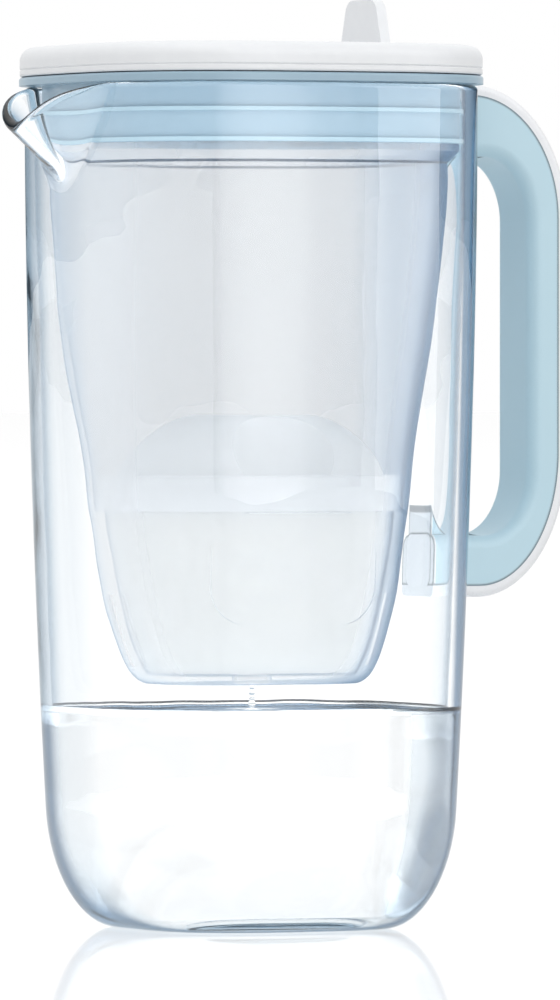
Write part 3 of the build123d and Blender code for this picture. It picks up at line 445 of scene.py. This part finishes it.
# ------------------------------------------------------------------------------------------------
# Filter cartridge
# Cup and cap are translucent white polypropylene, welded at the flange round packed granules that
# two woven screens hold back.
# ------------------------------------------------------------------------------------------------
# Polypropylene as moulded: milky and a little cloudy, with more of it in the way the flatter it is
# looked at, so what lies behind shows only as a pale shadow.
cartridge_white, tree, place = new_material("translucent_polypropylene")
flow = add(tree, "ShaderNodeTexNoise", {"Vector": place, "Scale": 1 / 0.012, "Detail": 3.0})
tone = add(tree, "ShaderNodeMix", {
    "Factor": flow.outputs[0], "A": linear("#FAFBFB"), "B": linear("#FDFDFE")}, data_type="RGBA")
glance = add(tree, "ShaderNodeLayerWeight", {"Blend": 0.5})
cover = add(tree, "ShaderNodeMapRange", {
    "Value": glance.outputs["Facing"], "To Min": 0.7, "To Max": 0.95})
rough = add(tree, "ShaderNodeMapRange", {"Value": flow.outputs[0], "To Min": 0.3, "To Max": 0.4})
plastic = add(tree, "ShaderNodeBsdfPrincipled", {
    "Base Color": tone.outputs["Result"], "Roughness": rough.outputs[0], "IOR": 1.49})
back = add(tree, "ShaderNodeBsdfTranslucent", {"Color": tone.outputs["Result"]})
milk = add(tree, "ShaderNodeMixShader", {"Fac": 0.5, 1: plastic.outputs[0], 2: back.outputs[0]})
window = add(tree, "ShaderNodeBsdfTransparent", {"Color": linear("#FEFEFF")})
surface = add(tree, "ShaderNodeMixShader", {
    "Fac": cover.outputs[0], 1: window.outputs[0], 2: milk.outputs[0]})
add(tree, "ShaderNodeOutputMaterial", {"Surface": surface.outputs[0]})
dress(cartridge_white, cad["cartridge_cup"], cad["cartridge_cap"])

# Granules of activated carbon and resin beads, 1 mm across, seen as a grey and ivory mottle.
granules, tree, place = new_material("carbon_and_resin_granules")
beads = add(tree, "ShaderNodeTexVoronoi", {"Vector": place, "Scale": 1 / 0.0011})
kinds = add(tree, "ShaderNodeValToRGB", {"Fac": beads.outputs["Color"]})
kinds.color_ramp.elements[0].position, kinds.color_ramp.elements[0].color = 0.35, linear("#E2E0DA")
kinds.color_ramp.elements[1].position, kinds.color_ramp.elements[1].color = 0.55, linear("#F4F2EC")
bump = add(tree, "ShaderNodeBump", {
    "Strength": 0.6, "Distance": 0.0004, "Height": beads.outputs["Distance"]}, invert=True)
bed = add(tree, "ShaderNodeBsdfPrincipled", {
    "Base Color": kinds.outputs["Color"], "Roughness": 0.8, "Normal": bump.outputs[0]})
add(tree, "ShaderNodeOutputMaterial", {"Surface": bed.outputs[0]})
dress(granules, cad["filter_media"])

# Woven polyester screen, drawn at 0.8 mm thread spacing so that the weave shows.
screen, tree, place = new_material("woven_polyester_screen")
THREAD_SPACING = 0.8
threads = 1 / (THREAD_SPACING * MM) / 6.28 * 2
warp = add(tree, "ShaderNodeTexWave", {"Vector": place, "Scale": threads}, bands_direction="X")
weft = add(tree, "ShaderNodeTexWave", {"Vector": place, "Scale": threads}, bands_direction="Y")
weave = add(tree, "ShaderNodeMath", {0: warp.outputs["Fac"], 1: weft.outputs["Fac"]}, operation="MAXIMUM")
tone = add(tree, "ShaderNodeMix", {
    "Factor": weave.outputs[0], "A": linear("#B9B9B4"), "B": linear("#EDEDE8")}, data_type="RGBA")
bump = add(tree, "ShaderNodeBump", {"Strength": 0.5, "Distance": 0.0002, "Height": weave.outputs[0]})
cloth = add(tree, "ShaderNodeBsdfPrincipled", {
    "Base Color": tone.outputs["Result"], "Roughness": 0.75, "Normal": bump.outputs[0]})
add(tree, "ShaderNodeOutputMaterial", {"Surface": cloth.outputs[0]})
dress(screen, cad["upper_mesh"], cad["lower_mesh"])

# ------------------------------------------------------------------------------------------------
# Lid
# White ABS mouldings, snapped together: a base that plugs into the collar, a domed top and the
# fill flap with its thumb tab, which turns on a steel pin.
# ------------------------------------------------------------------------------------------------
# White ABS from a spark-eroded mould: a satin grain, 0.6 mm so that it shows at all.
white_lid, tree, place = new_material("white_satin_abs")
peel = add(tree, "ShaderNodeTexNoise", {"Vector": place, "Scale": 1 / 0.005, "Detail": 2.0})
grain = add(tree, "ShaderNodeTexNoise", {"Vector": place, "Scale": 1 / 0.0006, "Detail": 1.0})
tone = add(tree, "ShaderNodeMix", {
    "Factor": peel.outputs[0], "A": linear("#E6E8EB"), "B": linear("#ECEEF0")}, data_type="RGBA")
rough = add(tree, "ShaderNodeMapRange", {"Value": grain.outputs[0], "To Min": 0.3, "To Max": 0.42})
bump = add(tree, "ShaderNodeBump", {"Strength": 0.12, "Distance": 0.00008, "Height": grain.outputs[0]})
plastic = add(tree, "ShaderNodeBsdfPrincipled", {
    "Base Color": tone.outputs["Result"], "Roughness": rough.outputs[0], "IOR": 1.5,
    "Normal": bump.outputs[0]})
add(tree, "ShaderNodeOutputMaterial", {"Surface": plastic.outputs[0]})
dress(white_lid, cad["lid_base"], cad["lid_top"], cad["flip_lid"], cad["battery_cover"],
      cad["indicator_button"])

# Printed circuit board: green solder mask with the copper's pattern faint under it.
board, tree, place = new_material("green_solder_mask")
tracks = add(tree, "ShaderNodeTexBrick", {
    "Vector": place, "Scale": 1 / 0.004,
    "Color1": linear("#1F5A3B"), "Color2": linear("#246644"), "Mortar": linear("#2F7A52")})
mask = add(tree, "ShaderNodeBsdfPrincipled", {"Base Color": tracks.outputs["Color"], "Roughness": 0.3})
add(tree, "ShaderNodeOutputMaterial", {"Surface": mask.outputs[0]})
dress(board, cad["circuit_board"])

# Nickel-plated steel coin cell, brushed in one direction.
plated, tree, place = new_material("nickel_plated_steel")
drawn = add(tree, "ShaderNodeMapping", {"Vector": place, "Scale": (300, 5000, 300)})
brush = add(tree, "ShaderNodeTexNoise", {"Vector": drawn.outputs[0], "Scale": 1.0, "Detail": 3.0})
rough = add(tree, "ShaderNodeMapRange", {"Value": brush.outputs[0], "To Min": 0.2, "To Max": 0.4})
metal = add(tree, "ShaderNodeBsdfPrincipled", {
    "Base Color": linear("#C6C3BC"), "Metallic": 1.0, "Roughness": rough.outputs[0]})
add(tree, "ShaderNodeOutputMaterial", {"Surface": metal.outputs[0]})
dress(plated, cad["coin_cell"])

# ------------------------------------------------------------------------------------------------
# Water
# Filtered water stands in the jug as it is being made. It belongs to the picture and not to the
# pitcher, so it is part of the stage.
# ------------------------------------------------------------------------------------------------
WATER_HIGH = 66.8
INTO_GLASS = 0.15          # the water's skin lies this far inside the glass, so no air shows between
MENISCUS_RISE, MENISCUS_WIDE = 1.2, 1.3
RING_RISE, RING_STEP, RING_REACH = 0.5, 1.9, 9.0
CLIMB_ROWS, LEVEL_ROWS, WATER_TURNS = 12, 90, 180


def water_rows(turn):
    """Rows from the middle of the water's underside, up along the glass and over its level to the
    middle. The level climbs the glass by an exponential, and drops make rings, a cosine of the
    distance from the axis that dies away exponentially."""
    quarter = np.linspace(0, math.pi / 2, ROUND_ROWS)
    foot = square_reach(turn, wall_half(BASE_THICK) - GLASS_WALL - HEEL_WIDE + INTO_GLASS)
    rows = [in_space(foot * s, turn, BASE_THICK - INTO_GLASS) for s in FLAT_SHARES[:-1]]
    for a in quarter:
        high = BASE_THICK + HEEL_TALL * (1 - math.cos(a)) - INTO_GLASS
        inset = GLASS_WALL + HEEL_WIDE * (1 - math.sin(a)) - INTO_GLASS
        rows.append(square_point(turn, wall_half(high) - inset, high))
    for high in np.linspace(BASE_THICK + HEEL_TALL, WATER_HIGH + MENISCUS_RISE, CLIMB_ROWS)[1:]:
        rows.append(square_point(turn, wall_half(high) - GLASS_WALL + INTO_GLASS, high))
    edge_reach = square_reach(turn, wall_half(WATER_HIGH) - GLASS_WALL + INTO_GLASS)
    for s in np.linspace(1, 0, LEVEL_ROWS)[1:]:
        reach = edge_reach * s
        meniscus = MENISCUS_RISE * np.exp(-(edge_reach - reach) / MENISCUS_WIDE)
        rings = RING_RISE * np.cos(reach / RING_STEP) * np.exp(-reach / RING_REACH)
        rows.append(in_space(reach, turn, WATER_HIGH + meniscus + rings))
    return np.stack(rows)


water = closed_skin("water", water_rows(np.arange(WATER_TURNS) * 2 * math.pi / WATER_TURNS))

# Clean water, clear all through. Its level, looked along, carries a painted reflection of the room's dark
# in steel blue.
water_look, tree, place = new_material("drinking_water")
clear = add(tree, "ShaderNodeBsdfPrincipled", {
    "Base Color": linear("#FFFFFF"), "Roughness": 0.0, "IOR": 1.333, "Transmission Weight": 1.0})
glance = add(tree, "ShaderNodeLayerWeight", {"Blend": 0.5})
skim = add(tree, "ShaderNodeMapRange", {
    "Value": glance.outputs["Facing"], "From Min": 0.80, "From Max": 0.95, "To Max": 0.8})
shape = add(tree, "ShaderNodeNewGeometry")
upward = add(tree, "ShaderNodeSeparateXYZ", {0: shape.outputs["Normal"]})
level = add(tree, "ShaderNodeMath", {0: upward.outputs["Z"], 1: 0.3}, operation="GREATER_THAN")
skimmed = add(tree, "ShaderNodeMath", {0: skim.outputs[0], 1: level.outputs[0]}, operation="MULTIPLY")
# Painted reflection: a steel blue gloss where the level is seen flat.
painted_dark_reflection = add(tree, "ShaderNodeBsdfGlossy", {"Color": linear("#6C8AA4"), "Roughness": 0.05})
body = add(tree, "ShaderNodeMixShader", {
    "Fac": skimmed.outputs[0], 1: clear.outputs[0], 2: painted_dark_reflection.outputs[0]})
surface = let_light_through(tree, body, "#FEFFFF")
add(tree, "ShaderNodeOutputMaterial", {"Surface": surface.outputs[0]})
dress(water_look, water)

# The last of it falls from the cartridge, drop by drop, each a ball: heights and radii in millimetres.
DROPS = ((73.4, 0.8), (71.9, 1.0), (70.3, 0.9), (68.5, 1.2))
DROP_ROWS, DROP_TURNS = 13, 24
down = np.linspace(0, math.pi, DROP_ROWS)[:, None] * np.ones(DROP_TURNS)
round_drop = np.arange(DROP_TURNS) * 2 * math.pi / DROP_TURNS
for number, (high, radius) in enumerate(DROPS, start=1):
    ball = in_space(radius * np.sin(down), round_drop, high - radius * np.cos(down))
    drop = closed_skin("drop_%d" % number, ball)
    dress(water_look, drop)

# ------------------------------------------------------------------------------------------------
# Stage
# A white room with a polished white floor, one large soft lamp overhead, two bright cards that only
# glossy surfaces mirror, and a long lens a little above the middle of the pitcher.
# ------------------------------------------------------------------------------------------------
FLOOR_HALF, FLOOR_BELOW = 60.0, 0.0002     # in metres, its top just under the glass
corners = np.array([(-1, -1, 0), (1, -1, 0), (1, 1, 0), (-1, 1, 0)])
floor = mesh_piece("floor", corners * FLOOR_HALF - (0, 0, FLOOR_BELOW), [(0, 1, 2, 3)])

# Acrylic sheet, polished: it mirrors more the flatter it is looked at. Seen by the camera, directly or
# through glass, it glows up to white.
white_floor, tree, place = new_material("white_acrylic_sheet")
ray = add(tree, "ShaderNodeLightPath")
seen = add(tree, "ShaderNodeMath", {
    0: ray.outputs["Is Camera Ray"], 1: ray.outputs["Transmission Depth"]},
    operation="ADD", use_clamp=True)
matt = add(tree, "ShaderNodeBsdfDiffuse", {"Color": linear("#F2F2F2")})
glow = add(tree, "ShaderNodeEmission", {"Color": linear("#FFFFFF"), "Strength": 0.73})
lit = add(tree, "ShaderNodeAddShader", {0: matt.outputs[0], 1: glow.outputs[0]})
shine = add(tree, "ShaderNodeBsdfGlossy", {"Roughness": 0.05})
glance = add(tree, "ShaderNodeLayerWeight", {"Blend": 0.5})
polish = add(tree, "ShaderNodeMapRange", {
    "Value": glance.outputs["Facing"], "From Min": 0.70, "From Max": 0.95,
    "To Min": 0.10, "To Max": 0.60})
sheet = add(tree, "ShaderNodeMixShader", {
    "Fac": polish.outputs[0], 1: lit.outputs[0], 2: shine.outputs[0]})
both = add(tree, "ShaderNodeMixShader", {
    "Fac": seen.outputs[0], 1: matt.outputs[0], 2: sheet.outputs[0]})
add(tree, "ShaderNodeOutputMaterial", {"Surface": both.outputs[0]})
dress(white_floor, floor)

# The room is white where the camera sees it, directly, in a satin surface or through glass, and 0.74
# of white as light. A mirror-sharp reflection off an outer face sees it dark at the horizon, paler
# upwards.
world = bpy.data.worlds.new("white_room")
bpy.context.scene.world = world
world.use_nodes = True
tree = world.node_tree
tree.nodes.clear()
ray = add(tree, "ShaderNodeLightPath")
plain = add(tree, "ShaderNodeMath", {
    0: ray.outputs["Is Camera Ray"], 1: ray.outputs["Is Glossy Ray"]}, operation="ADD")
seen = add(tree, "ShaderNodeMath", {
    0: plain.outputs[0], 1: ray.outputs["Transmission Depth"]}, operation="ADD", use_clamp=True)
first = add(tree, "ShaderNodeMath", {
    0: ray.outputs["Transmission Depth"], 1: 0.5}, operation="LESS_THAN")
mirror = add(tree, "ShaderNodeMath", {
    0: ray.outputs["Is Glossy Ray"], 1: ray.outputs["Is Singular Ray"]}, operation="MULTIPLY")
mirrored = add(tree, "ShaderNodeMath", {0: mirror.outputs[0], 1: first.outputs[0]}, operation="MULTIPLY")
towards = add(tree, "ShaderNodeTexCoord").outputs["Generated"]
parts = add(tree, "ShaderNodeSeparateXYZ", {0: towards})
level = add(tree, "ShaderNodeValToRGB", {"Fac": parts.outputs["Z"]})
level.color_ramp.elements[0].position, level.color_ramp.elements[0].color = 0.15, [0.10, 0.14, 0.18, 1]
level.color_ramp.elements[1].position, level.color_ramp.elements[1].color = 0.75, [1.0, 1.0, 1.0, 1]
room = add(tree, "ShaderNodeBackground", {"Color": (1, 1, 1, 1), "Strength": 0.74})
white = add(tree, "ShaderNodeBackground", {"Color": (1, 1, 1, 1), "Strength": 1.0})
dark = add(tree, "ShaderNodeBackground", {"Color": level.outputs["Color"], "Strength": 1.0})
sky = add(tree, "ShaderNodeMixShader", {
    "Fac": seen.outputs[0], 1: room.outputs[0], 2: white.outputs[0]})
both = add(tree, "ShaderNodeMixShader", {
    "Fac": mirrored.outputs[0], 1: sky.outputs[0], 2: dark.outputs[0]})
add(tree, "ShaderNodeOutputWorld", {"Surface": both.outputs[0]})

LAMP_PLACE, LAMP_AIM = Vector((-0.2, -0.5, 1.6)), Vector((0, 0, 0.15))
LAMP_WATTS, LAMP_WIDE = 10.0, 1.4
softbox = bpy.data.lights.new("overhead_softbox", "AREA")
softbox.energy, softbox.shape = LAMP_WATTS, "RECTANGLE"
softbox.size = softbox.size_y = LAMP_WIDE
overhead = bpy.data.objects.new("overhead_softbox", softbox)
bpy.context.scene.collection.objects.link(overhead)
overhead.location = LAMP_PLACE
overhead.rotation_euler = (LAMP_AIM - LAMP_PLACE).to_track_quat("-Z", "Y").to_euler()
overhead.visible_glossy = False        # no glare on the lid from behind

CARD_FAR, CARD_TALL, CARD_STEPS, CARD_BRIGHT = 2.0, 2.2, 25, 3.0


def mirrored_card(name, first, last, glow):
    """A bright upright card, an arc round the pitcher between two azimuths in degrees from the front,
    that only glossy surfaces see. glow holds pairs of a share of its width and the brightness there."""
    azimuth = np.radians(np.linspace(first, last, CARD_STEPS))
    line = np.stack([CARD_FAR * np.sin(azimuth), -CARD_FAR * np.cos(azimuth)], axis=-1)
    edges = [np.column_stack([line, np.full(CARD_STEPS, high)]) for high in (0.0, CARD_TALL)]
    foot = np.arange(CARD_STEPS - 1)
    faces = np.stack([foot, foot + 1, foot + 1 + CARD_STEPS, foot + CARD_STEPS], axis=-1)
    card = mesh_piece(name, np.concatenate(edges), faces.tolist())
    across = np.tile(np.linspace(0, 1, CARD_STEPS), 2)
    card.data.attributes.new("across", "FLOAT", "POINT").data.foreach_set("value", across)
    look, tree, place = new_material(name + "_fabric")
    where = add(tree, "ShaderNodeAttribute", attribute_name="across")
    ramp = add(tree, "ShaderNodeValToRGB", {"Fac": where.outputs["Fac"]})
    stops = ramp.color_ramp.elements
    stops[0].color, stops[1].color = [glow[0][1]] * 3 + [1], [glow[-1][1]] * 3 + [1]
    for share, bright in glow:
        stops.new(share).color = (bright, bright, bright, 1)
    shine = add(tree, "ShaderNodeEmission", {"Color": ramp.outputs["Color"], "Strength": CARD_BRIGHT})
    add(tree, "ShaderNodeOutputMaterial", {"Surface": shine.outputs[0]})
    dress(look, card)
    card.visible_camera = card.visible_diffuse = False
    card.visible_transmission = card.visible_shadow = False


mirrored_card("front_card", -25, 27, (
    (0.02, 0.0), (0.17, 0.5), (0.33, 0.8), (0.48, 0.95), (0.67, 1.0), (0.85, 0.8), (0.98, 0.0)))
mirrored_card("right_card", 30, 64, ((0.02, 0.75), (0.98, 1.0)))

# The camera stands 25 degrees round from the front towards the spout, far off and a little above
# what it aims at, in metres.
AIM = Vector((0.0082, -0.0038, 0.1306))
CAMERA_FAR, CAMERA_RISE = 3.5, 0.035
CAMERA_SINE, CAMERA_COSINE = 0.4226, 0.9063
camera_data = bpy.data.cameras.new("camera")
camera_data.lens, camera_data.sensor_width = 412.06, 36.0
camera = bpy.data.objects.new("camera", camera_data)
bpy.context.scene.collection.objects.link(camera)
camera.location = AIM + Vector((
    -CAMERA_SINE * CAMERA_FAR, -CAMERA_COSINE * CAMERA_FAR, CAMERA_RISE))
camera.rotation_euler = (AIM - camera.location).to_track_quat("-Z", "Y").to_euler()
bpy.context.scene.camera = camera
bpy.context.scene.view_settings.view_transform = "Standard"
cycles = bpy.context.scene.cycles
cycles.max_bounces, cycles.diffuse_bounces, cycles.glossy_bounces = 40, 10, 12
cycles.transmission_bounces, cycles.transparent_max_bounces = 32, 32
